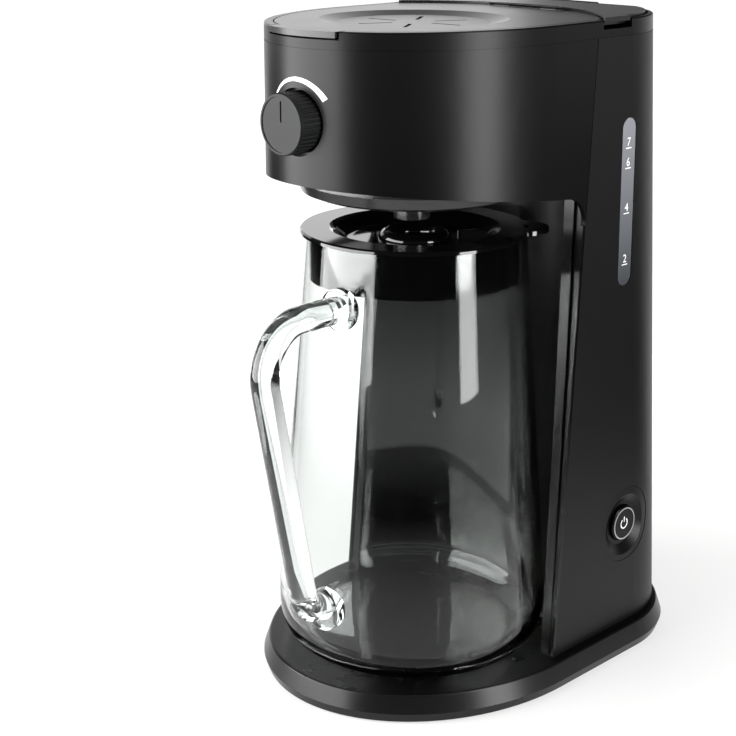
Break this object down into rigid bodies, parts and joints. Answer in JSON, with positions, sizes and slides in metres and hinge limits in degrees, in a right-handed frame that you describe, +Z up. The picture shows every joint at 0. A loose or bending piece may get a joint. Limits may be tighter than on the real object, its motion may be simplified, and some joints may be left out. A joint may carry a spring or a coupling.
{
  "type": "iced tea maker",
  "caption": "Black iced tea maker with a glass jug standing in its bay, a strength knob, a round power button, a water window and two hinged top lids.",
  "frame": {"origin": "middle of the footprint box, on the table", "axes": "+Z up, -Y towards the user (the knob and the jug handle), +X to the right seen from the front"},
  "size_m": [0.172, 0.271, 0.3395],
  "materials": {
    "base_plastic": "satin moulded ABS",
    "cover_plastic": "moulded ABS",
    "rubber_black": "soft rubber",
    "screw_steel": "zinc plated",
    "gloss_black": "polished",
    "panel_plastic": "fine grained",
    "clear_plastic": "clear with milky back",
    "head_plastic": "satin",
    "print_white": "pad print",
    "knob_plastic": "satin moulded",
    "shaft_steel": "turned",
    "inner_plastic": "moulded polypropylene",
    "silicone": "translucent silicone",
    "smoky_plastic": "smoky translucent",
    "filter_mesh": "woven nylon in a frame",
    "lid_plastic": "satin",
    "tank_plastic": "translucent",
    "heater_aluminium": "cast",
    "bracket_steel": "pressed",
    "fuse_ceramic": "ceramic",
    "bezel_plastic": "polished",
    "button_plastic": "satin gloss",
    "ring_chrome": "satin chrome",
    "board_green": "circuit board",
    "clear_glass": "borosilicate"
  },
  "bodies": {
    "root": {"base_housing": "base_plastic", "bay_trim": "gloss_black", "bottom_cover": "cover_plastic", "brew_basket": "smoky_plastic", "brew_lid_pin": "shaft_steel", "button_bezel": "bezel_plastic", "bypass_hose": "silicone", "check_valve": "inner_plastic", "control_board": "board_green", "cord_gland": "rubber_black", "cover_screws": "screw_steel", "feet": "rubber_black", "filter_cup": "filter_mesh", "head_shell": "head_plastic", "head_underside": "cover_plastic", "heater": "heater_aluminium", "heater_saddles": "bracket_steel", "inlet_hose": "silicone", "jug_rest": "gloss_black", "knob_well": "knob_plastic", "riser_hose": "silicone", "strength_arc": "print_white", "tank_lid_pin": "shaft_steel", "thermal_fuse": "fuse_ceramic", "thermostat": "bracket_steel", "top_frame": "head_plastic", "tower_front_panel": "gloss_black", "tower_screws": "screw_steel", "tower_shell": "panel_plastic", "valve_box": "inner_plastic", "water_outlet": "inner_plastic", "water_tank": "tank_plastic", "water_window": "clear_plastic"},
    "brew_lid": {"brew_lid": "lid_plastic", "spray_plate": "inner_plastic"},
    "tank_lid": {"tank_lid": "lid_plastic"},
    "knob": {"strength_knob": "knob_plastic", "knob_shaft": "shaft_steel", "valve_cam": "inner_plastic"},
    "button": {"power_button": "button_plastic", "button_ring": "ring_chrome"},
    "jug": {"jug_glass": "clear_glass", "jug_handle": "clear_glass"},
    "jug_lid": {"jug_lid": "gloss_black"}
  },
  "joints": [
    {"name": "brew_lid_hinge", "type": "hinge", "parent": "root", "child": "brew_lid", "pos_m": [0, 0.06499, 0.3376], "axis": [-1, 0, 0], "range_deg": [0, 95]},
    {"name": "tank_lid_hinge", "type": "hinge", "parent": "root", "child": "tank_lid", "pos_m": [0, 0.10349, 0.3376], "axis": [-1, 0, 0], "range_deg": [0, 100]},
    {"name": "strength_knob_turn", "type": "hinge", "parent": "root", "child": "knob", "pos_m": [0, -0.10471, 0.2963], "axis": [0, -1, 0], "range_deg": [-55, 55]},
    {"name": "power_button_press", "type": "slide", "parent": "root", "child": "button", "axis": [-1, 0, 0], "range_m": [0, 0.002], "stiffness_N_per_m": 600},
    {"name": "jug_slide", "type": "slide", "parent": "root", "child": "jug", "axis": [0, -1, 0], "range_m": [0, 0.16]},
    {"name": "jug_lid_turn", "type": "hinge", "parent": "jug", "child": "jug_lid", "pos_m": [0, -0.01651, 0.2337], "axis": [0, 0, 1], "range_deg": [0, 53]}
  ]
}
